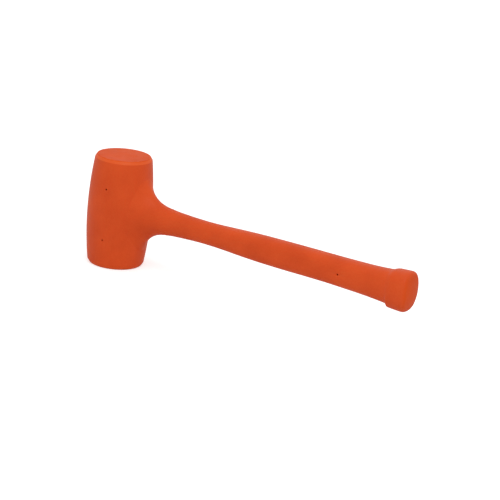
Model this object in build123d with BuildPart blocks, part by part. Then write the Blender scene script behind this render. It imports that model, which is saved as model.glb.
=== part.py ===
"""Dead blow mallet: a shot-filled steel canister on a steel rod, cast into one piece of urethane.

Units are millimetres. The origin is the centre of the lower striking face. +Z runs up the head's axis,
through both striking faces, and +X runs from the head along the handle to the pommel.
"""

import os

from build123d import *

# How far a cutting tool runs past the surface that it cuts
overrun = 1.0

# Head of the urethane cover
head_length = 97.0
head_centre = head_length / 2
face_radius = 23.1
end_radius = 24.8
belly_radius = 28.1
bevel_height = 2.6
bevel_edge_round = 0.7

# Handle of the urethane cover. X distances are measured from the head's axis.
overall_length = 313.2
handle_end = overall_length - belly_radius
junction_round = 26.0
pommel_length = 18.5
pommel_front = handle_end - pommel_length
pommel_rise = -1.1
pommel_front_height = 16.0
pommel_front_width = 13.5
pommel_front_round = 0.8
pommel_end_height = 17.0
pommel_end_width = 14.3
pommel_end_round = 3.6
pommel_crown_radius = 60.0

# Oval sections of the handle: distance, half height, half width, fullness, height above the head's centre.
# A fullness of 0.552 is an ellipse, and a larger one flattens the sides and squares the corners.
ellipse = 0.552
grip_fullness = 0.72
handle_sections = [
    (18.0, 27.0, 20.0, ellipse, 0.4),
    (28.0, 19.9, 15.2, ellipse, 0.4),
    (38.0, 15.2, 11.6, ellipse, 0.4),
    (50.0, 12.1, 9.6, 0.60, 0.4),
    (68.0, 10.4, 8.6, 0.64, 0.4),
    (92.0, 9.6, 8.1, 0.68, 0.4),
    (126.0, 10.8, 9.2, 0.71, 0.3),
    (165.0, 11.7, 10.0, grip_fullness, 0.1),
    (205.0, 11.8, 10.1, grip_fullness, 0.0),
    (235.0, 12.3, 10.5, grip_fullness, -0.4),
    (pommel_front - 9.0, 13.3, 11.2, grip_fullness, -0.7),
    (pommel_front + 1.0, 14.3, 12.1, grip_fullness, -0.8),
]

# Marks left in the cover by the mould's locating pins
pin_mark_radius = 0.8
head_mark_spacing = 45.4
head_mark_offset = 3.0
handle_mark_distance = 222.0

# Steel canister, sealed by two pressed-in cups
canister_radius = 20.0
canister_wall = 1.5
bore_radius = canister_radius - canister_wall
face_thickness = 12.0
canister_low = face_thickness
canister_high = head_length - face_thickness
cap_depth = 6.0
cap_wall = 1.5
cap_floor = 2.0
cap_corner = 0.8
seam_bead_radius = 1.1

# Socket welded to the canister's side, and the rod that is pinned in it
socket_radius = 7.5
socket_end = 40.0
socket_chamfer = 0.8
weld_leg = 3.0
weld_tip = 0.05
weld_toe_distance = 17.0
rod_radius = 4.0
rod_start = canister_radius + 0.5
rod_end = 246.0
groove_depth = 0.7
groove_width = 3.0
groove_distances = [206.0, 214.0, 230.0]
tenon_radius = 2.5
washer_radius = 7.0
washer_thickness = 2.0
washer_distance = 240.0
peen_radius = 3.6
peen_round = 1.5
roll_pin_radius = 1.5
roll_pin_wall = 0.4
roll_pin_slot = 0.6
roll_pin_distance = 32.0
roll_pin_half_length = socket_radius - 0.5

# Shot: columns of balls standing in concentric rings, each ring free to slide along the bore
ball_radius = 2.2
ball_pitch = 4.5
floor_gap = 0.05
chamber_low = canister_low + cap_depth
shot_rings = {
    "shot_core": {"radius": 2.65, "columns": 3, "layers": 11},
    "shot_inner_ring": {"radius": 7.17, "columns": 9, "layers": 10},
    "shot_middle_ring": {"radius": 11.69, "columns": 16, "layers": 10},
    "shot_outer_ring": {"radius": 16.21, "columns": 22, "layers": 9},
}


def oval_quarters(half_height, half_width, fullness):
    """Control points of the four curves of an oval, in order round it."""
    across, up = half_width, half_height
    corners = [(across, up), (-across, up), (-across, -up), (across, -up)]
    quarters = []
    for number, (x, y) in enumerate(corners):
        points = [(x, 0), (x, fullness * y), (fullness * x, y), (0, y)]
        quarters.append(points if number % 2 == 0 else points[::-1])
    return quarters


def across_handle(distance, rise=0.0):
    """The plane across the handle at a distance from the head's axis, centred a rise above the head's centre."""
    return Plane(origin=(distance, 0, head_centre + rise), x_dir=(0, 1, 0), z_dir=(1, 0, 0))


def finish(builder, name):
    """Labels a finished piece and writes its STEP file."""
    builder.part.label = name
    export_step(builder.part, f"parts/{name}.step")


os.makedirs("parts", exist_ok=True)

# Canister tube, with its axis up the head
with BuildPart() as canister_tube:
    with BuildSketch(Plane.XY.offset(canister_low)):
        Circle(canister_radius)
        Circle(bore_radius, mode=Mode.SUBTRACT)
    extrude(amount=canister_high - canister_low)

# Hollow of the lower cup, which the urethane fills
with BuildPart() as cup_hollow:
    with BuildSketch(Plane.XY.offset(canister_low)):
        Circle(bore_radius - cap_wall)
    extrude(amount=cap_depth - cap_floor)
    fillet(cup_hollow.edges().sort_by(Axis.Z)[-1], cap_corner)

# Lower cup: its skirt is pressed into the tube and its floor holds the shot
with BuildPart() as canister_cap_lower:
    with BuildSketch(Plane.XY.offset(canister_low)):
        Circle(bore_radius)
    extrude(amount=cap_depth)
    add(cup_hollow.part, mode=Mode.SUBTRACT)

mid_head = Plane.XY.offset(head_centre)

with BuildPart() as canister_cap_upper:
    mirror(canister_cap_lower.part, about=mid_head)

# Weld bead that seals the seam between the tube and the cup
with BuildPart() as cap_seam_weld_lower:
    with BuildSketch(Plane.XZ):
        with Locations((bore_radius, canister_low)):
            Circle(seam_bead_radius)
        with Locations((bore_radius, canister_low)):
            Rectangle(
                4 * seam_bead_radius,
                2 * seam_bead_radius,
                align=(Align.CENTER, Align.MIN),
                mode=Mode.SUBTRACT,
            )
    revolve(axis=Axis.Z)

with BuildPart() as cap_seam_weld_upper:
    mirror(cap_seam_weld_lower.part, about=mid_head)

# Canister as a solid drum, used to cut saddles and the cover's cavity
with BuildPart() as canister_drum:
    with BuildSketch(Plane.XY.offset(canister_low)):
        Circle(canister_radius)
    extrude(amount=canister_high - canister_low)

# Rod: plain bar, keying grooves, and a tenon that is peened over the washer
with BuildPart() as handle_rod:
    with BuildSketch(across_handle(rod_start)):
        Circle(rod_radius)
    extrude(amount=washer_distance - rod_start)
    with BuildSketch(across_handle(washer_distance)):
        Circle(tenon_radius)
    extrude(amount=washer_thickness)
    with BuildSketch(across_handle(washer_distance + washer_thickness)):
        Circle(peen_radius)
    extrude(amount=rod_end - washer_distance - washer_thickness)
    fillet(handle_rod.edges().sort_by(Axis.X)[-1], peen_round)
    for distance in groove_distances:
        with BuildSketch(across_handle(distance)):
            Circle(rod_radius + overrun)
            Circle(rod_radius - groove_depth, mode=Mode.SUBTRACT)
        extrude(amount=groove_width, mode=Mode.SUBTRACT)
    with BuildSketch(Plane.XZ):
        with Locations((roll_pin_distance, head_centre)):
            Circle(roll_pin_radius)
    extrude(amount=rod_radius + overrun, both=True, mode=Mode.SUBTRACT)

with BuildPart() as anchor_washer:
    with BuildSketch(across_handle(washer_distance)):
        Circle(washer_radius)
        Circle(tenon_radius, mode=Mode.SUBTRACT)
    extrude(amount=washer_thickness)

# Socket: a bored boss whose end is a saddle on the canister
with BuildPart() as rod_socket:
    with BuildSketch(across_handle(weld_toe_distance)):
        Circle(socket_radius)
    extrude(amount=socket_end - weld_toe_distance)
    chamfer(rod_socket.edges().sort_by(Axis.X)[-1], socket_chamfer)
    with BuildSketch(across_handle(rod_start)):
        Circle(rod_radius)
    extrude(amount=socket_end - rod_start, mode=Mode.SUBTRACT)
    with BuildSketch(Plane.XZ):
        with Locations((roll_pin_distance, head_centre)):
            Circle(roll_pin_radius)
    extrude(amount=socket_radius + overrun, both=True, mode=Mode.SUBTRACT)
    add(canister_drum.part, mode=Mode.SUBTRACT)

# Fillet weld round the saddle
with BuildPart() as socket_weld:
    weld_length = 2 * weld_leg
    with BuildSketch(across_handle(weld_toe_distance)):
        Circle(socket_radius + weld_leg)
    with BuildSketch(across_handle(weld_toe_distance + weld_length)):
        Circle(socket_radius + weld_tip)
    loft()
    with BuildSketch(across_handle(weld_toe_distance)):
        Circle(socket_radius)
    extrude(amount=weld_length, mode=Mode.SUBTRACT)
    add(canister_drum.part, mode=Mode.SUBTRACT)

# Slotted spring pin that locks the rod in the socket
with BuildPart() as roll_pin:
    with BuildSketch(Plane.XZ):
        with Locations((roll_pin_distance, head_centre)):
            Circle(roll_pin_radius)
            Circle(roll_pin_radius - roll_pin_wall, mode=Mode.SUBTRACT)
        with Locations((roll_pin_distance + roll_pin_radius, head_centre)):
            Rectangle(2 * roll_pin_radius, roll_pin_slot, mode=Mode.SUBTRACT)
    extrude(amount=roll_pin_half_length, both=True)

# Sealed canister as the urethane meets it: solid, with a hollow cup at each end
with BuildPart() as sealed_canister:
    add(canister_drum.part)
    add(cup_hollow.part, mode=Mode.SUBTRACT)
    mirror(cup_hollow.part, about=mid_head, mode=Mode.SUBTRACT)

# Handle, lofted through its ovals
with BuildPart() as handle_form:
    for distance, half_height, half_width, fullness, rise in handle_sections:
        with BuildSketch(across_handle(distance, rise)):
            with BuildLine():
                for quarter in oval_quarters(half_height, half_width, fullness):
                    Bezier(*quarter)
            make_face()
    loft()

# Pommel: a flared oval block, a little lower than the handle, with a domed end
pommel_ends = [
    (pommel_front, pommel_front_height, pommel_front_width),
    (handle_end, pommel_end_height, pommel_end_width),
]
with BuildPart() as pommel_form:
    for distance, half_height, half_width in pommel_ends:
        with BuildSketch(across_handle(distance, pommel_rise)):
            with BuildLine():
                for quarter in oval_quarters(half_height, half_width, grip_fullness):
                    Bezier(*quarter)
            make_face()
    loft(ruled=True)
    with Locations((handle_end - pommel_crown_radius, 0, head_centre + pommel_rise)):
        Sphere(pommel_crown_radius, mode=Mode.INTERSECT)
    fillet(pommel_form.faces().sort_by(Axis.X)[-1].edges(), pommel_end_round)
    fillet(pommel_form.faces().sort_by(Axis.X)[0].edges(), pommel_front_round)

# Urethane cover: barrel head, handle and pommel, less the space that the steel takes up
with BuildPart() as urethane_cover:
    with BuildSketch(Plane.XZ):
        with BuildLine():
            side_low = (end_radius, bevel_height)
            side_high = (end_radius, head_length - bevel_height)
            upper_edge = (face_radius, head_length)
            lower_edge = (face_radius, 0)
            Polyline(side_high, upper_edge, (0, head_length), (0, 0), lower_edge, side_low)
            ThreePointArc(side_low, (belly_radius, head_centre), side_high)
        make_face()
    revolve(axis=Axis.Z)
    fillet(urethane_cover.edges().filter_by(GeomType.CIRCLE), bevel_edge_round)
    add(handle_form.part)
    fillet(urethane_cover.edges(Select.NEW).filter_by_position(Axis.X, 10, 40), junction_round)
    add(pommel_form.part)

    canister_pieces = [sealed_canister, cap_seam_weld_lower, cap_seam_weld_upper]
    handle_pieces = [rod_socket, socket_weld, roll_pin, handle_rod, anchor_washer]
    for piece in canister_pieces + handle_pieces:
        add(piece.part, mode=Mode.SUBTRACT)
    with BuildSketch(Plane.XZ):
        with Locations((head_mark_offset, head_centre)):
            with GridLocations(1, head_mark_spacing, 1, 2):
                Circle(pin_mark_radius)
        with Locations((handle_mark_distance, head_centre)):
            Circle(pin_mark_radius)
    extrude(amount=belly_radius, both=True, mode=Mode.SUBTRACT)

# Shot: columns of touching-size balls that stand on the lower cup
for name, ring in shot_rings.items():
    with BuildPart() as shot:
        first_ball = Plane.XY.offset(chamber_low + floor_gap + ball_radius)
        for layer in range(ring["layers"]):
            with Locations(first_ball.offset(layer * ball_pitch)):
                with PolarLocations(ring["radius"], ring["columns"]):
                    Sphere(ball_radius)
    finish(shot, name)

pieces = {
    "urethane_cover": urethane_cover,
    "canister_tube": canister_tube,
    "canister_cap_lower": canister_cap_lower,
    "canister_cap_upper": canister_cap_upper,
    "cap_seam_weld_lower": cap_seam_weld_lower,
    "cap_seam_weld_upper": cap_seam_weld_upper,
    "rod_socket": rod_socket,
    "socket_weld": socket_weld,
    "roll_pin": roll_pin,
    "handle_rod": handle_rod,
    "anchor_washer": anchor_washer,
}
for name, piece in pieces.items():
    finish(piece, name)
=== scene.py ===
"""Dead blow mallet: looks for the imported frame.

The cover is one smooth skin that follows the CAD cover, with the mould's parting line, its pin marks and the
slight waves of a casting, and with the cavity that holds the steel. Everything inside it keeps its CAD shape.
Points of the skin are in millimetres until its mesh is made. All other lengths are in metres.
"""

from math import atan2, cos, hypot, pi, radians, sin

import bmesh
import bpy
import numpy as np
from mathutils import Matrix, Vector, noise
from mathutils.bvhtree import BVHTree


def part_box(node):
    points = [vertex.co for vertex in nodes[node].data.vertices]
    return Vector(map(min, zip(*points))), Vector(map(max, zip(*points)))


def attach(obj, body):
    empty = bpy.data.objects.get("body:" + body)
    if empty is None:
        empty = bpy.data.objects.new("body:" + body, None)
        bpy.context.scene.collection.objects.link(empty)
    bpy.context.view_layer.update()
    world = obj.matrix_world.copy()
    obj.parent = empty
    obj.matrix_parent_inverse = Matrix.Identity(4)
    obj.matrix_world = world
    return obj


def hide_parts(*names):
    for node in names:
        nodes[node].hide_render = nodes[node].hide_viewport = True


MM = 0.001

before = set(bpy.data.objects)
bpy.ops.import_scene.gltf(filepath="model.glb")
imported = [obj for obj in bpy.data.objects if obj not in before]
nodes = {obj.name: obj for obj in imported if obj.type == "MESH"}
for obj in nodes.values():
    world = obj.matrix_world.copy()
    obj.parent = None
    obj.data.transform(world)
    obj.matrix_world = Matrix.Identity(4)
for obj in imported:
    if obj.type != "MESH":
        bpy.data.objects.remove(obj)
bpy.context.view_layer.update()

# Driving dimensions of the skin, in millimetres. The overall sizes come from the frame.
cover_low, cover_high = (np.array(corner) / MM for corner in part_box("urethane_cover"))
head_length = cover_high[2]
mid = head_length / 2
belly_radius = -cover_low[0]
tip = cover_high[0]
face_radius = 23.1
end_radius = 24.8
bevel_height = 2.6
bevel_round = 0.7
shoulder_round = 1.1
pommel_length = 18.5
pommel_front = tip - pommel_length
neck = 52.0
foot_turn = radians(57)
foot_height = 39.5
hole_size = 1.07

# Fineness of the skin
around_head = 240
around_handle = 144
around_mark = 40
flare_rows = 64
row_step = 0.72
step_row = 0.25
step_reach = 4.5
step_lead = 0.8
crisp_passes = 8
soft_passes = 90
cap_length = 10
cap_rows = 44

# Pin marks: radius, and the x, z and depth of each. They end just short of the steel.
mark_radius = 0.8
head_mark_x = 3.0
head_mark_offset = 22.7
head_mark_depth = 7.0
handle_mark_x = 222.0
handle_mark_depth = 5.2
marks = [
    (head_mark_x, mid - head_mark_offset, head_mark_depth),
    (head_mark_x, mid + head_mark_offset, head_mark_depth),
    (handle_mark_x, mid, handle_mark_depth),
]

# Relief of the casting
wave_sizes = [(17.0, 0.07), (7.0, 0.022)]
face_wave_share = 0.35
parting_height = 0.045
parting_width = 0.45


# ------------------------------------------------------------------ shape of the head

def arc_through(end_value, belly_value, half_span):
    """An arc that stands at belly_value in the middle and falls to end_value at half_span from it."""
    sag = belly_value - end_value
    radius = (half_span**2 + sag**2) / (2 * sag)
    return lambda distance: belly_value - radius + np.sqrt(radius**2 - np.asarray(distance) ** 2)


barrel = arc_through(end_radius, belly_radius, mid - bevel_height)


def rounded_corner(before, corner, after, radius, count):
    """Points of the arc that rounds a corner of an outline."""
    a, p, b = (np.array(q, float) for q in (before, corner, after))
    to_a, to_b = (a - p) / np.linalg.norm(a - p), (b - p) / np.linalg.norm(b - p)
    half = np.arccos(np.clip(to_a @ to_b, -1, 1)) / 2
    centre = p + (to_a + to_b) / np.linalg.norm(to_a + to_b) * radius / np.sin(half)
    start, stop = (p + side * radius / np.tan(half) - centre for side in (to_a, to_b))
    spokes = [start * (1 - t) + stop * t for t in np.linspace(0, 1, count)]
    return [centre + spoke / np.linalg.norm(spoke) * radius for spoke in spokes]


def head_outline():
    """Radius and height of the head's rings, from the upper face's middle to the lower face's middle."""
    face_corner = (face_radius, head_length)
    side_corner = (end_radius, head_length - bevel_height)
    below = head_length - bevel_height - 3
    edge = rounded_corner((0, head_length), face_corner, side_corner, bevel_round, 6)
    shoulder = rounded_corner(face_corner, side_corner, (barrel(below - mid), below), shoulder_round, 5)
    outline = [(r, head_length) for r in np.linspace(1.4, edge[0][0] - 0.5, 16)] + edge
    outline += [edge[-1] * (1 - t) + shoulder[0] * t for t in (0.2, 0.4, 0.6, 0.8)] + shoulder
    side = np.arange(shoulder[-1][1] - 0.5, mid, -row_step)
    outline += [(barrel(z - mid), z) for z in side]
    outline += [(r, head_length - z) for r, z in reversed(outline)]
    return np.array(outline, float).T


# ------------------------------------------------------------------ shape of the handle, from the CAD cover

cad_mesh = nodes["urethane_cover"].data
cad_tree = BVHTree.FromPolygons(
    [v.co / MM for v in cad_mesh.vertices], [tuple(p.vertices) for p in cad_mesh.polygons]
)
spokes = np.linspace(0, 2 * pi, around_handle, endpoint=False)
across, up = np.cos(spokes), np.sin(spokes)
hair = Vector((0.011, 0.007, 0.013))


def cast(point, direction):
    """Where a ray from outside towards a point meets the CAD cover, or the point if it meets nothing.

    The ray is set off by a hair, because one that runs along a seam of the CAD mesh can slip through it.
    """
    direction = Vector(direction).normalized()
    hit = cad_tree.ray_cast(Vector(point) + hair + direction * 200, -direction)[0]
    return np.array(hit or point)


def nearest(points):
    flat = [cad_tree.find_nearest(Vector(p))[0] for p in points.reshape(-1, 3)]
    return np.array(flat).reshape(points.shape)


def smooth_rows(values, passes):
    """Each pass averages every row with its two neighbours. The first and last rows stay."""
    values = values.copy()
    for _ in range(passes):
        values[1:-1] = values[1:-1] / 2 + (values[:-2] + values[2:]) / 4
    return values


def smooth_round(values, passes):
    """The same round the handle, where the last column is the first one's neighbour."""
    for _ in range(passes):
        values = values / 2 + (np.roll(values, 1, 1) + np.roll(values, -1, 1)) / 4
    return values


def side_to_side(values):
    """Averages the two halves of every section, which mirror each other across the plane y = 0."""
    turned = np.roll(values, around_handle // 2, 1)
    return (values + np.roll(turned[:, ::-1], 1, 1)) / 2


def sections(stations):
    """Distance of the CAD cover from the handle's axis: a row for each station, a column for each spoke."""
    rows = []
    for x in stations:
        hits = [cast((x, 0, mid), (0, a, u)) for a, u in zip(across, up)]
        rows.append([np.hypot(hit[1], hit[2] - mid) for hit in hits])
    rows = np.array(rows)
    for column in (0, around_handle // 2):
        bridge_marks(stations, rows[:, column])
    return side_to_side(rows)


def bridge_marks(stations, radius):
    """Where a ray fell down a pin mark, carries the surface straight across it."""
    for mark_x, _, _ in marks:
        inside = np.abs(stations - mark_x) < 2 * mark_radius
        if inside.any() and not inside.all():
            radius[inside] = np.interp(stations[inside], stations[~inside], radius[~inside])


def section_points(stations, radius):
    x = np.repeat(np.atleast_1d(stations)[:, None], around_handle, 1)
    return np.stack([x, radius * across, mid + radius * up], -1)


def grip_grid():
    """Rows from the neck to just before the pommel."""
    stations = np.arange(neck, pommel_front - step_reach, row_step)
    wide = np.arange(neck - 8 * row_step, pommel_front - 0.3, row_step)
    radius = smooth_round(smooth_rows(sections(wide), 60), 4)
    grip = np.stack([np.interp(stations, wide, column) for column in radius.T], 1)
    return section_points(stations, grip)


def pommel_grid(before):
    """Rows over the step of the pommel, along it and round its end, from the radius before the step.

    The step is crisp below the handle and melts into it at the sides and above.
    """
    stations = np.arange(pommel_front - step_reach, pommel_front + step_reach, step_row)
    radius = smooth_round(sections(stations), 3)
    lead = stations < pommel_front - step_lead
    radius[lead] += (before - radius[0]) * np.linspace(1, 0, lead.sum())[:, None]
    softness = np.clip(1.4 + 1.4 * up, 0, 1)
    crisp, soft = smooth_rows(radius, crisp_passes), smooth_rows(radius, soft_passes)
    step = section_points(stations, crisp * (1 - softness) + soft * softness)
    stations = np.arange(pommel_front + step_reach + row_step / 2, tip - cap_length, row_step)
    side = section_points(stations, smooth_round(sections(stations), 3))
    pivot = np.array([tip - cap_length, 0, mid])
    cap = []
    for lean in np.linspace(0, pi / 2, cap_rows, endpoint=False):
        cap.append([cast(pivot, (sin(lean), cos(lean) * a, cos(lean) * u)) for a, u in zip(across, up)])
    whole = np.concatenate([step, side, np.array(cap)])
    start = len(step) - 4
    whole[start:] = smooth_rows(whole[start:], 3)
    return whole


def on_barrel(turn, height):
    radius = barrel(height)
    return np.stack([radius * np.cos(turn), radius * np.sin(turn), mid + height], -1)


def even_rows(grid):
    """Spaces the points of every column evenly along it."""
    steps = np.linalg.norm(np.diff(grid, axis=0), axis=2)
    length = np.vstack([np.zeros(grid.shape[1]), np.cumsum(steps, 0)])
    result = np.empty_like(grid)
    for column in range(grid.shape[1]):
        wanted = np.linspace(0, length[-1, column], len(grid))
        for axis in range(3):
            result[:, column, axis] = np.interp(wanted, length[:, column], grid[:, column, axis])
    return result


def settle_on_barrel(grid):
    """Puts points that lie within the CAD mesh's own roughness of the barrel exactly on it."""
    spread = np.hypot(grid[..., 0], grid[..., 1])
    height = np.clip(grid[..., 2] - mid, -foot_height, foot_height)
    proud = spread - barrel(height)
    keep = np.clip((np.abs(proud) - 0.06) / 0.3, 0, 1)
    keep = keep * keep * (3 - 2 * keep)
    scale = (barrel(height) + proud * keep) / spread
    grid[..., 0] *= scale
    grid[..., 1] *= scale
    return grid


def flare_grid(neck_row, after_neck):
    """Rows from an oval foot on the barrel to the neck, laid on the CAD cover, evened out and smoothed."""
    foot = on_barrel(foot_turn * across, foot_height * up)
    inside = on_barrel(foot_turn * across * 0.97, foot_height * up * 0.97)
    inward = (inside - foot) / np.linalg.norm(inside - foot, axis=1, keepdims=True)
    reach = np.linalg.norm(foot - neck_row, axis=1, keepdims=True) * 0.45
    pulls = [foot, foot + inward * reach, neck_row - reach * np.array([1.0, 0, 0]), neck_row]
    t = np.linspace(0, 1, flare_rows + 1)[:, None, None]
    shares = [(1 - t) ** 3, 3 * t * (1 - t) ** 2, 3 * t**2 * (1 - t), t**3]
    grid = sum(share * pull for share, pull in zip(shares, pulls))
    for _ in range(3):
        grid[1:-1] = nearest(grid[1:-1])
        grid = even_rows(grid)
    settle_on_barrel(grid)
    run = np.concatenate([grid, after_neck])
    for _ in range(10):
        run[1:-1] = smooth_round(smooth_rows(run, 1), 1)[1:-1]
    settle_on_barrel(run[:flare_rows // 2])
    return run[1:flare_rows], foot


# ------------------------------------------------------------------ the skin's mesh, row by row

def add_row(mesh, points):
    return [mesh.verts.new(point) for point in points]


def join_rows(mesh, first, second):
    """A strip of quads between two closed rows of the same length."""
    for i in range(len(first)):
        j = (i + 1) % len(first)
        mesh.faces.new((first[i], first[j], second[j], second[i]))


def close_row(mesh, row, centre):
    hub = mesh.verts.new(centre)
    for i, vert in enumerate(row):
        mesh.faces.new((vert, row[(i + 1) % len(row)], hub))


def turning(row):
    """A vector along the axis that a closed row goes round."""
    centre = sum((vert.co for vert in row), Vector()) / len(row)
    total = Vector()
    for i, vert in enumerate(row):
        total += (row[i - 1].co - centre).cross(vert.co - centre)
    return total


def open_edge(mesh, near):
    """The points of the open edge that passes nearest to a point, in order along it."""
    loose = {vert for edge in mesh.edges if edge.is_boundary for vert in edge.verts}
    walk = [min(loose, key=lambda vert: (vert.co - near).length)]
    while True:
        ends = [edge.other_vert(walk[-1]) for edge in walk[-1].link_edges if edge.is_boundary]
        onward = [vert for vert in ends if vert not in walk[-2:]]
        if not onward or onward[0] is walk[0]:
            return walk
        walk.append(onward[0])


def zip_hole(mesh, row):
    """Joins the ragged edge of a hole to a closed row inside it, going round both by angle."""
    ragged = open_edge(mesh, row[0].co)
    if turning(ragged).dot(turning(row)) < 0:
        ragged[1:] = ragged[:0:-1]
    centre = sum((vert.co for vert in row), Vector()) / len(row)
    ahead = (row[0].co - centre).normalized()
    aside = turning(row).cross(ahead).normalized()

    def angles(loop):
        spokes = [vert.co - centre for vert in loop + loop[:1]]
        return np.unwrap([atan2(spoke.dot(aside), spoke.dot(ahead)) for spoke in spokes])

    def fits(*corners):
        first, second, third = (vert.co for vert in corners)
        return (second - first).cross(third - first).dot(turning(row)) > 0

    outer_angle, inner_angle = angles(ragged), angles(row)
    made = []
    i = j = 0
    while i < len(ragged) or j < len(row):
        outer, inner = ragged[i % len(ragged)], row[j % len(row)]
        next_outer, next_inner = ragged[(i + 1) % len(ragged)], row[(j + 1) % len(row)]
        if i == len(ragged) or j == len(row):
            go_outer = j == len(row)
        elif fits(outer, next_outer, inner) == fits(outer, next_inner, inner):
            go_outer = outer_angle[i + 1] < inner_angle[j + 1]
        else:
            go_outer = fits(outer, next_outer, inner)
        made.append(mesh.faces.new((outer, next_outer if go_outer else next_inner, inner)))
        i, j = (i + 1, j) if go_outer else (i, j + 1)
    diagonals = {edge for face in made for edge in face.edges if not edge.is_boundary}
    between = [edge for edge in diagonals if all(face in made for face in edge.link_faces)]
    bmesh.ops.beautify_fill(mesh, faces=made, edges=between, method="ANGLE")


def add_head(mesh):
    """The barrel, with a hole where the handle's foot will stand."""
    radius, height = head_outline()
    turns = np.linspace(0, 2 * pi, around_head, endpoint=False)
    spread = (turns + pi) % (2 * pi) - pi
    hole = (spread[None, :] / foot_turn) ** 2 + ((height[:, None] - mid) / foot_height) ** 2 < hole_size
    hole &= radius[:, None] > end_radius
    verts = {}
    for i in range(len(radius)):
        for j, turn in enumerate(turns):
            if not hole[i, j]:
                verts[i, j] = mesh.verts.new((radius[i] * cos(turn), radius[i] * sin(turn), height[i]))
    for i in range(len(radius) - 1):
        for j in range(around_head):
            beside = (j + 1) % around_head
            corners = [(i, j), (i, beside), (i + 1, beside), (i + 1, j)]
            if all(corner in verts for corner in corners):
                mesh.faces.new([verts[corner] for corner in corners])
    close_row(mesh, [verts[0, j] for j in range(around_head)], (0, 0, head_length))
    close_row(mesh, [verts[len(radius) - 1, j] for j in range(around_head)], (0, 0, 0))


def add_handle(mesh):
    grip = grip_grid()
    pommel = pommel_grid(np.hypot(grip[-1, :, 1], grip[-1, :, 2] - mid))
    flare, foot = flare_grid(grip[0], grip[1:12])
    previous = add_row(mesh, foot)
    zip_hole(mesh, previous)
    for points in np.concatenate([flare, grip, pommel]):
        current = add_row(mesh, points)
        join_rows(mesh, previous, current)
        previous = current
    close_row(mesh, previous, (tip, 0, mid))


def add_mark(mesh, tree, x, z, side, depth):
    """A pin mark: a fine hole with a slightly raised lip, sunk along Y from one side of the cover."""
    clear = 3 * mark_radius
    near = [v for v in mesh.verts if v.co.y * side > 0 and hypot(v.co.x - x, v.co.z - z) < clear]
    bmesh.ops.delete(mesh, geom=near, context="VERTS")
    turns = np.linspace(0, 2 * pi, around_mark, endpoint=False)
    # The lip's outline: distance from the axis and height above the surface, in mark radii
    outline = [(2.5, 0.0), (2.0, 0.01), (1.65, 0.05), (1.4, 0.10), (1.2, 0.09), (1.08, 0.0)]
    outline += [(1.01, -0.18), (1.0, -0.5), (1.0, -depth / mark_radius + 1)]
    outline += [(cos(a), -depth / mark_radius + 1 - sin(a)) for a in np.linspace(0.1, 1.4, 6)]
    previous = None
    for distance, rise in outline:
        points = []
        for turn in turns:
            px = x + distance * mark_radius * cos(turn)
            pz = z + distance * mark_radius * sin(turn)
            surface = tree.ray_cast(Vector((px, side * 60, pz)), Vector((0, -side, 0)))[0].y
            points.append((px, surface + side * rise * mark_radius, pz))
        current = add_row(mesh, points)
        if previous is None:
            zip_hole(mesh, current)
        else:
            join_rows(mesh, previous, current)
        previous = current
    bottom = sum((vert.co for vert in previous), Vector()) / around_mark
    close_row(mesh, previous, bottom)


# ------------------------------------------------------------------ relief and cavity

def tree_of(mesh):
    mesh.normal_update()
    return BVHTree.FromBMesh(mesh)


def add_relief(mesh):
    """Moves every point along its normal: the casting's waves, and the parting line in the plane y = 0."""
    mesh.normal_update()
    moves = []
    for vert in mesh.verts:
        place, normal = vert.co, vert.normal
        flat = min(abs(place.z), abs(place.z - head_length)) < bevel_height + 0.3
        waves = sum(height * noise.noise(place / size + Vector((size, 3, 5))) for size, height in wave_sizes)
        rise = waves * (face_wave_share if flat else 1)
        if not flat and abs(place.y) < 2 * parting_width:
            rise += parting_height * parting_profile(place)
        moves.append(normal * rise)
    for vert, move in zip(mesh.verts, moves):
        vert.co += move


def parting_profile(place):
    """Height of the parting line, from 0 to 1. It fades and comes back, as trimmed flash does."""
    ridge = max(0.0, 1 - (place.y / parting_width) ** 2)
    trimmed = 0.65 + 0.7 * noise.noise(Vector((place.x / 21, 0.5, place.z / 21)))
    return ridge * min(1.0, max(0.15, trimmed))


def cavity():
    """The CAD cover's inner walls as a closed shell facing inwards, with the pin marks' tunnels plugged."""
    shell = bmesh.new()
    shell.from_mesh(cad_mesh)
    bmesh.ops.scale(shell, vec=Vector((1, 1, 1)) / MM, verts=shell.verts)
    bmesh.ops.remove_doubles(shell, verts=shell.verts, dist=0.002)

    def in_tunnel(face):
        for x, z, _ in marks:
            if all(hypot(v.co.x - x, v.co.z - z) < mark_radius + 0.02 for v in face.verts):
                return True
        return False

    inner_wall = min(shell.faces, key=lambda face: face.calc_center_median().xy.length)
    reached = {inner_wall}
    waiting = [inner_wall]
    while waiting:
        for edge in waiting.pop().edges:
            for face in edge.link_faces:
                if face not in reached and not in_tunnel(face):
                    reached.add(face)
                    waiting.append(face)
    bmesh.ops.delete(shell, geom=[face for face in shell.faces if face not in reached], context="FACES")
    bmesh.ops.holes_fill(shell, edges=[edge for edge in shell.edges if edge.is_boundary], sides=0)
    bmesh.ops.recalc_face_normals(shell, faces=shell.faces)
    bmesh.ops.reverse_faces(shell, faces=shell.faces)
    return shell


def build_cover():
    """The skin and its cavity as one mesh, in metres."""
    skin = bmesh.new()
    add_head(skin)
    add_handle(skin)
    bmesh.ops.recalc_face_normals(skin, faces=skin.faces)
    outside = tree_of(skin)
    for x, z, depth in marks:
        for side in (-1, 1):
            add_mark(skin, outside, x, z, side, depth)
    bmesh.ops.recalc_face_normals(skin, faces=skin.faces)
    add_relief(skin)
    inner = cavity()
    data = bpy.data.meshes.new("cast_cover")
    inner.to_mesh(data)
    skin.from_mesh(data)
    bmesh.ops.scale(skin, vec=Vector((MM, MM, MM)), verts=skin.verts)
    skin.to_mesh(data)
    skin.free()
    inner.free()
    for polygon in data.polygons:
        polygon.use_smooth = True
    return data


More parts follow.
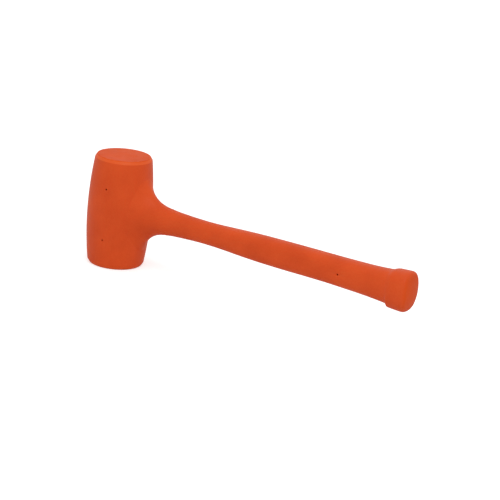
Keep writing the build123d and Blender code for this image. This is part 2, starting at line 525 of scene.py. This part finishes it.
cover = bpy.data.objects.new("cast_cover", build_cover())
bpy.context.scene.collection.objects.link(cover)
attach(cover, "mallet")
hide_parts("urethane_cover")


# ------------------------------------------------------------------ materials

class Shade:
    """A material and short ways to add nodes to it. Places are object coordinates, in metres."""

    def __init__(self, name):
        self.material = bpy.data.materials.new(name)
        self.material.use_nodes = True
        self.tree = self.material.node_tree
        self.shader = self.tree.nodes["Principled BSDF"]
        self.place = self.add("ShaderNodeTexCoord").outputs["Object"]

    def add(self, kind, inputs=None, **settings):
        node = self.tree.nodes.new(kind)
        for name, value in settings.items():
            setattr(node, name, value)
        for socket, value in (inputs or {}).items():
            self.put(node.inputs[socket], value)
        return node

    def put(self, socket, value):
        if isinstance(value, bpy.types.NodeSocket):
            self.tree.links.new(value, socket)
        else:
            socket.default_value = value

    def set(self, **inputs):
        for name, value in inputs.items():
            self.put(self.shader.inputs[name.replace("_", " ")], value)

    def stretched(self, *scale):
        mapped = self.add("ShaderNodeMapping", {"Vector": self.place, "Scale": scale})
        return mapped.outputs[0]

    def noise(self, size, detail=3.0, roughness=0.5, place=None, twist=0.0):
        """Noise from about 0.3 to 0.7 whose features are about size metres across."""
        inputs = {"Vector": place or self.place, "Scale": 1 / size, "Detail": detail}
        inputs |= {"Roughness": roughness, "Distortion": twist}
        return self.add("ShaderNodeTexNoise", inputs).outputs["Fac"]

    def span(self, value, low, high, to_low=0.0, to_high=1.0):
        """Takes low..high to to_low..to_high, and holds the ends."""
        inputs = {"Value": value, "From Min": low, "From Max": high, "To Min": to_low, "To Max": to_high}
        return self.add("ShaderNodeMapRange", inputs).outputs["Result"]

    def math(self, operation, first, second=0.0):
        return self.add("ShaderNodeMath", {0: first, 1: second}, operation=operation).outputs[0]

    def mix(self, share, first, second):
        """Between two colours."""
        node = self.add("ShaderNodeMix", data_type="RGBA")
        colours = [socket for socket in node.inputs if socket.type == "RGBA"]
        for socket, colour in zip(colours, (first, second)):
            self.put(socket, colour if isinstance(colour, bpy.types.NodeSocket) else (*colour, 1))
        self.put(node.inputs[0], share)
        return next(socket for socket in node.outputs if socket.type == "RGBA")

    def bump(self, height, depth, under=None, strength=1.0):
        """A bump whose height of 0 to 1 stands for a depth in metres."""
        inputs = {"Height": height, "Distance": depth, "Strength": strength}
        if under is not None:
            inputs["Normal"] = under
        return self.add("ShaderNodeBump", inputs).outputs["Normal"]


def cast_urethane():
    """Pigmented urethane: slightly mottled and satin, paler where edges are scuffed, with a painted highlight
    and some wear as a paler band on the bevels.
    """
    shade = Shade("cast_urethane")
    geometry = shade.add("ShaderNodeNewGeometry")
    cloud = shade.span(shade.noise(0.028, 4), 0.35, 0.65)
    speckle = shade.span(shade.noise(0.0012, 2), 0.35, 0.65)
    colour = shade.mix(cloud, (0.69, 0.071, 0.0095), (0.77, 0.087, 0.0130))
    colour = shade.mix(shade.math("MULTIPLY", speckle, 0.12), colour, (0.88, 0.14, 0.03))
    edge = shade.span(geometry.outputs["Pointiness"], 0.515, 0.57)
    patches = shade.span(shade.noise(0.004, 4, 0.65), 0.45, 0.62)
    worn = shade.math("MULTIPLY", edge, patches)
    colour = shade.mix(shade.math("MULTIPLY", worn, 0.35), colour, (0.90, 0.19, 0.07))
    split = shade.add("ShaderNodeSeparateXYZ", {0: shade.place}).outputs
    to_middle = shade.math("ABSOLUTE", shade.math("SUBTRACT", split["Z"], mid * MM))
    # Painted highlight with some wear: the bevels, and faintly the faces, are painted a paler orange.
    bevel = shade.span(to_middle, (mid - bevel_height - 0.15) * MM, (mid - bevel_height + 0.1) * MM)
    face = shade.span(to_middle, (mid - 0.6) * MM, (mid - 0.15) * MM)
    bevel_highlight_and_wear = shade.math("SUBTRACT", shade.math("MULTIPLY", bevel, 0.6), shade.math("MULTIPLY", face, 0.45))
    colour = shade.mix(bevel_highlight_and_wear, colour, (0.88, 0.13, 0.022))
    shade.set(Base_Color=colour)
    roughness = shade.span(shade.noise(0.009, 5, 0.6), 0.3, 0.7, 0.38, 0.50)
    roughness = shade.math("ADD", roughness, shade.math("MULTIPLY", worn, 0.15))
    butt = shade.span(split["X"], (tip - 3.5) * MM, (tip - 1.5) * MM)
    matt = shade.math("MAXIMUM", face, butt)
    shade.set(Roughness=roughness, Specular_IOR_Level=shade.span(matt, 0, 1, 0.16, 0.04))
    shade.set(Subsurface_Weight=0.08, Subsurface_Scale=0.0015, Subsurface_Radius=(1.0, 0.3, 0.1))
    normal = shade.bump(shade.noise(0.0035, 3), 0.00003)
    normal = shade.bump(shade.noise(0.0006, 2), 0.000012, normal)
    shade.set(Normal=normal)
    return shade.material


def steel_base(name, roughness, specks=0.0012):
    """Bare metal with uneven roughness. The caller sets the colour and adds its own marks."""
    shade = Shade(name)
    shade.set(Metallic=1.0)
    shade.set(Roughness=shade.span(shade.noise(specks, 4, 0.6), 0.3, 0.7, roughness - 0.07, roughness + 0.07))
    return shade


def drawn_tube():
    """Welded tube with its mill scale: blue-grey, with brown patches and long drawing lines."""
    shade = steel_base("mill_scaled_tube", 0.46)
    patches = shade.span(shade.noise(0.018, 4), 0.4, 0.65)
    colour = shade.mix(patches, (0.11, 0.12, 0.135), (0.16, 0.13, 0.105))
    lines = shade.noise(0.001, 2, place=shade.stretched(1, 1, 0.03))
    bare = shade.span(lines, 0.58, 0.66, 0, 0.6)
    shade.set(Base_Color=shade.mix(bare, colour, (0.36, 0.37, 0.38)))
    shade.set(Normal=shade.bump(lines, 0.00002))
    return shade.material


def zinc_cup():
    """Pressed cup: bright zinc with straw and blue tints, and rings from the press."""
    shade = steel_base("zinc_plated_cup", 0.30)
    patches = shade.span(shade.noise(0.011, 3, twist=1.2), 0.35, 0.65)
    tint = shade.mix(patches, (0.60, 0.58, 0.47), (0.53, 0.58, 0.62))
    dull = shade.span(shade.noise(0.0025, 5, 0.7), 0.5, 0.7, 0, 0.5)
    shade.set(Base_Color=shade.mix(dull, tint, (0.34, 0.35, 0.35)))
    inputs = {"Vector": shade.place, "Scale": 190.0, "Distortion": 0.6, "Detail": 1.0}
    rings = shade.add("ShaderNodeTexWave", inputs, wave_type="RINGS", rings_direction="Z").outputs["Fac"]
    shade.set(Normal=shade.bump(rings, 0.00002))
    return shade.material


def weld_bead():
    """Weld metal: overlapping ripples, with heat tints from straw to blue."""
    shade = steel_base("weld_bead", 0.36, 0.0006)
    heat = shade.noise(0.006, 3, twist=0.8)
    colour = shade.mix(shade.span(heat, 0.38, 0.5), (0.42, 0.31, 0.16), (0.30, 0.20, 0.26))
    colour = shade.mix(shade.span(heat, 0.5, 0.62), colour, (0.17, 0.22, 0.33))
    soot = shade.span(shade.noise(0.0015, 4, 0.7), 0.52, 0.66, 0, 0.8)
    shade.set(Base_Color=shade.mix(soot, colour, (0.07, 0.065, 0.06)))
    ripples = shade.noise(0.0016, 1, twist=2.5)
    shade.set(Normal=shade.bump(ripples, 0.00012))
    return shade.material


def spring_pin():
    """Blued spring steel, rubbed bright along the lines where it was driven in."""
    shade = steel_base("blued_spring_pin", 0.33)
    rubs = shade.span(shade.noise(0.0006, 2, place=shade.stretched(1, 0.05, 1)), 0.55, 0.66, 0, 0.75)
    patches = shade.span(shade.noise(0.003, 3), 0.4, 0.6)
    colour = shade.mix(patches, (0.045, 0.052, 0.075), (0.075, 0.07, 0.07))
    shade.set(Base_Color=shade.mix(rubs, colour, (0.45, 0.45, 0.46)))
    shade.set(Normal=shade.bump(rubs, 0.00001))
    return shade.material


def turned_rod():
    """Cold-drawn rod: bright grey with fine turning lines and a few rust freckles."""
    shade = steel_base("turned_rod", 0.31)
    lines = shade.noise(0.0005, 2, place=shade.stretched(1, 0.02, 0.02))
    colour = shade.mix(shade.span(lines, 0.35, 0.65), (0.40, 0.40, 0.405), (0.56, 0.555, 0.55))
    freckles = shade.span(shade.noise(0.0022, 5, 0.75), 0.63, 0.70, 0, 0.8)
    shade.set(Base_Color=shade.mix(freckles, colour, (0.20, 0.085, 0.035)))
    shade.set(Normal=shade.bump(lines, 0.000015))
    return shade.material


def steel_shot():
    """Cast shot: every ball has its own tone, with dents and dull spots from rattling against the others."""
    shade = steel_base("steel_shot", 0.27, 0.0009)
    own = shade.add("ShaderNodeNewGeometry").outputs["Random Per Island"]
    colour = shade.mix(own, (0.33, 0.335, 0.35), (0.56, 0.55, 0.53))
    dull = shade.span(shade.noise(0.0013, 4, 0.7), 0.5, 0.62, 0, 0.6)
    shade.set(Base_Color=shade.mix(dull, colour, (0.16, 0.15, 0.145)))
    inputs = {"Vector": shade.place, "Scale": 1 / 0.0011}
    dents = shade.add("ShaderNodeTexVoronoi", inputs, feature="SMOOTH_F1").outputs["Distance"]
    shade.set(Normal=shade.bump(shade.span(dents, 0.1, 0.5), 0.00004))
    return shade.material


finishes = {
    "urethane": cast_urethane(),
    "tube_steel": drawn_tube(),
    "cap_steel": zinc_cup(),
    "weld_metal": weld_bead(),
    "spring_steel": spring_pin(),
    "rod_steel": turned_rod(),
    "shot_steel": steel_shot(),
}
cover.data.materials.append(finishes["urethane"])
for node in nodes.values():
    for slot in node.material_slots:
        slot.material = finishes[slot.material.name.split(".")[0]]


# ------------------------------------------------------------------ stage

# The camera. Angles are in degrees, and it aims to the right of and below the head's centre.
camera_azimuth = 29.39
camera_elevation = 17.39
camera_roll = 6.37
camera_distance = 1.393
focal_length = 115.1
aim_right = 0.1135
aim_down = 0.0361

# Light and floor. The key's turn is counted from the camera's azimuth.
tent_strength = 0.745
floor_tone = 0.78
floor_glow = 0.55
floor_size = 12.0
floor_gap = 0.0002
key_turn = 8
key_rise = 60
key_distance = 1.3
key_target_x = 0.1
key_size = 0.7
key_power = 3.4


def camera_axes(azimuth, elevation, roll):
    """Right, up and back of a camera that looks at the mallet from an azimuth and an elevation."""
    back = Vector((sin(azimuth) * cos(elevation), -cos(azimuth) * cos(elevation), sin(elevation)))
    right = Vector((cos(azimuth), sin(azimuth), 0))
    top = back.cross(right)
    return right * cos(roll) + top * sin(roll), top * cos(roll) - right * sin(roll), back


view_right, view_up, view_back = camera_axes(
    radians(camera_azimuth), radians(camera_elevation), radians(camera_roll)
)
aim = Vector((0, 0, mid * MM)) + view_right * aim_right - view_up * aim_down
camera_data = bpy.data.cameras.new("camera")
camera_data.sensor_width = 36
camera_data.lens = focal_length
camera = bpy.data.objects.new("camera", camera_data)
bpy.context.scene.collection.objects.link(camera)
camera.matrix_world = Matrix.Translation(aim + view_back * camera_distance) @ Matrix(
    (view_right, view_up, view_back)
).transposed().to_4x4()
bpy.context.scene.camera = camera


def light_tent():
    """A world that is plain white to the camera, and an even soft light to everything else."""
    world = bpy.data.worlds.new("light_tent")
    world.use_nodes = True
    tree = world.node_tree
    ray = tree.nodes.new("ShaderNodeLightPath")
    strength = tree.nodes.new("ShaderNodeMapRange")
    tree.links.new(ray.outputs["Is Camera Ray"], strength.inputs["Value"])
    strength.inputs["To Min"].default_value = tent_strength
    strength.inputs["To Max"].default_value = 1.0
    background = tree.nodes["Background"]
    tree.links.new(strength.outputs["Result"], background.inputs["Strength"])
    background.inputs["Color"].default_value = (1, 1, 1, 1)
    return world


def pale_floor():
    """A plain pale floor just under the lower face. A glow that only the camera sees keeps it white."""
    shade = Shade("pale_floor")
    shade.set(Base_Color=(floor_tone, floor_tone, floor_tone, 1), Roughness=0.9, Specular_IOR_Level=0.1)
    seen = shade.add("ShaderNodeLightPath").outputs["Is Camera Ray"]
    shade.set(Emission_Color=(1, 1, 1, 1), Emission_Strength=shade.math("MULTIPLY", seen, floor_glow))
    half = floor_size / 2
    data = bpy.data.meshes.new("floor")
    corners = [(-half, -half, 0), (half, -half, 0), (half, half, 0), (-half, half, 0)]
    data.from_pydata(corners, [], [(0, 1, 2, 3)])
    data.materials.append(shade.material)
    floor = bpy.data.objects.new("floor", data)
    floor.location.z = -floor_gap
    return floor


def key_light():
    """One large soft light, above and to the right of the camera."""
    data = bpy.data.lights.new("key", "AREA")
    data.shape = "DISK"
    data.size = key_size
    data.energy = key_power
    light = bpy.data.objects.new("key", data)
    turn, rise = radians(camera_azimuth + key_turn), radians(key_rise)
    towards = Vector((sin(turn) * cos(rise), -cos(turn) * cos(rise), sin(rise)))
    centre = Vector((key_target_x, 0, mid * MM))
    light.location = centre + towards * key_distance
    light.rotation_euler = towards.to_track_quat("Z", "Y").to_euler()
    return light


scene = bpy.context.scene
scene.view_settings.view_transform = "Standard"
scene.world = light_tent()
for extra in (pale_floor(), key_light()):
    scene.collection.objects.link(extra)
